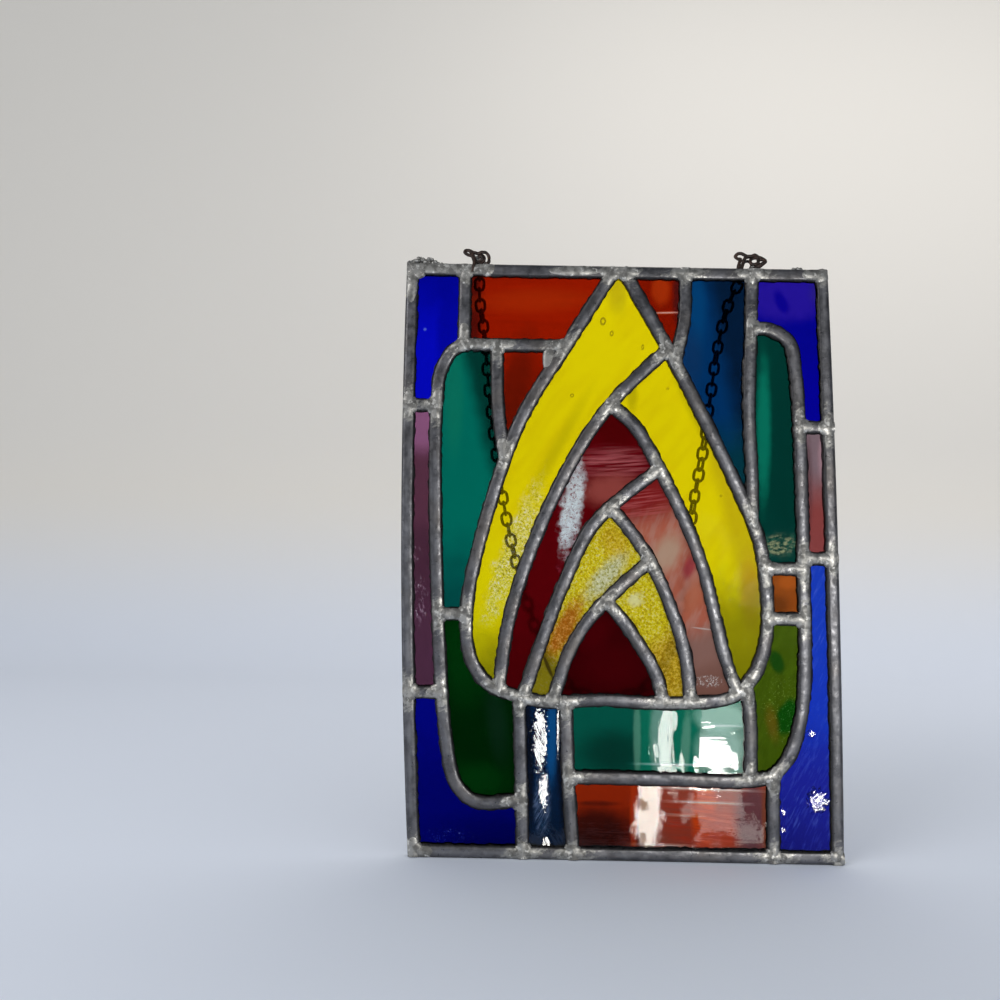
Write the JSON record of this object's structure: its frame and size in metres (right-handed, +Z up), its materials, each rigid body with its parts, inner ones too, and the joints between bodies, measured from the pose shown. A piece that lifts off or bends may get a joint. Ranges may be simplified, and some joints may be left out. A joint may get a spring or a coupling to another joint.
{
  "type": "stained glass window panel",
  "caption": "Small leaded stained glass panel: coloured panes in lead cames round a pointed flame shape, in a lead frame with wire eyes and a hanging chain.",
  "frame": {"origin": "middle of the frame's top edge, between the two wire eyes, in the middle of the glass", "axes": "+Z up, +X to the right seen from the front, -Y out of the front face; the chain hangs on the +Y side"},
  "size_m": [0.197, 0.0118, 0.2717],
  "materials": {
    "lead": "dull grey lead came, rubbed shiny on its crown, with lumpy bright solder at the joints",
    "dark_wire": "dark brown oxidised iron wire",
    "glass_cobalt": "smooth transparent cobalt blue",
    "glass_red": "smooth orange-red",
    "glass_teal": "smooth deep teal",
    "glass_purple": "dark purple, mauve at the top",
    "glass_dark_green": "very dark green",
    "glass_navy": "deep navy",
    "glass_yellow": "bright yellow with seeds, grainy lower down",
    "glass_ruby": "ruby with milky streaks at the top",
    "glass_grainy_yellow": "amber yellow, granular",
    "glass_maroon": "dark maroon",
    "glass_salmon": "salmon pink with red streaks",
    "glass_steel_blue": "dark steel blue, teal below",
    "glass_violet": "blue-violet",
    "glass_mauve": "mauve",
    "glass_amber": "brown amber",
    "glass_olive": "olive with green swirls",
    "glass_blue": "bright blue with glints",
    "glass_sea_green": "sea green, glossy",
    "glass_orange": "orange-red, glossy and rippled",
    "glass_ribbed": "blue with upright ripples and white streaks"
  },
  "bodies": {
    "root": {"frame_left": "lead", "frame_right": "lead", "frame_top": "lead", "frame_bottom": "lead", "came_flame_left": "lead", "came_flame_right": "lead", "came_flame_base": "lead", "came_outer_arch_left": "lead", "came_outer_arch_right": "lead", "came_middle_arch_left": "lead", "came_middle_arch_right": "lead", "came_inner_arch_left": "lead", "came_inner_arch_right": "lead", "came_bottom_left_upright": "lead", "came_bottom_middle_upright": "lead", "came_bottom_right_upright": "lead", "came_left_border": "lead", "came_top_left_upright": "lead", "came_top_left_rail": "lead", "came_triangle_upright": "lead", "came_left_upper_step": "lead", "came_left_lower_step": "lead", "came_green_top": "lead", "came_top_right_upright": "lead", "came_top_middle_upright": "lead", "came_right_border": "lead", "came_bottom_rail": "lead", "came_teal_end_upright": "lead", "came_right_upper_step": "lead", "came_right_lower_step": "lead", "came_amber_top": "lead", "came_amber_bottom": "lead", "pane_cobalt_top_left": "glass_cobalt", "pane_red_top_left": "glass_red", "pane_red_triangle": "glass_red", "pane_teal_left": "glass_teal", "pane_purple_left": "glass_purple", "pane_green_left": "glass_dark_green", "pane_navy_bottom_left": "glass_navy", "pane_yellow_left": "glass_yellow", "pane_dark_red": "glass_ruby", "pane_grainy_yellow_left": "glass_grainy_yellow", "pane_maroon_middle": "glass_maroon", "pane_grainy_yellow_right": "glass_grainy_yellow", "pane_salmon_streaked": "glass_salmon", "pane_yellow_right": "glass_yellow", "pane_red_top_right": "glass_red", "pane_steel_blue": "glass_steel_blue", "pane_teal_right": "glass_teal", "pane_violet_top_right": "glass_violet", "pane_mauve_right": "glass_mauve", "pane_amber_square": "glass_amber", "pane_olive_right": "glass_olive", "pane_blue_right": "glass_blue", "pane_teal_bottom": "glass_sea_green", "pane_orange_bottom": "glass_orange", "pane_ribbed_blue": "glass_ribbed", "eye_left": "dark_wire", "eye_right": "dark_wire", "hanging_chain": "dark_wire"}
  },
  "joints": []
}
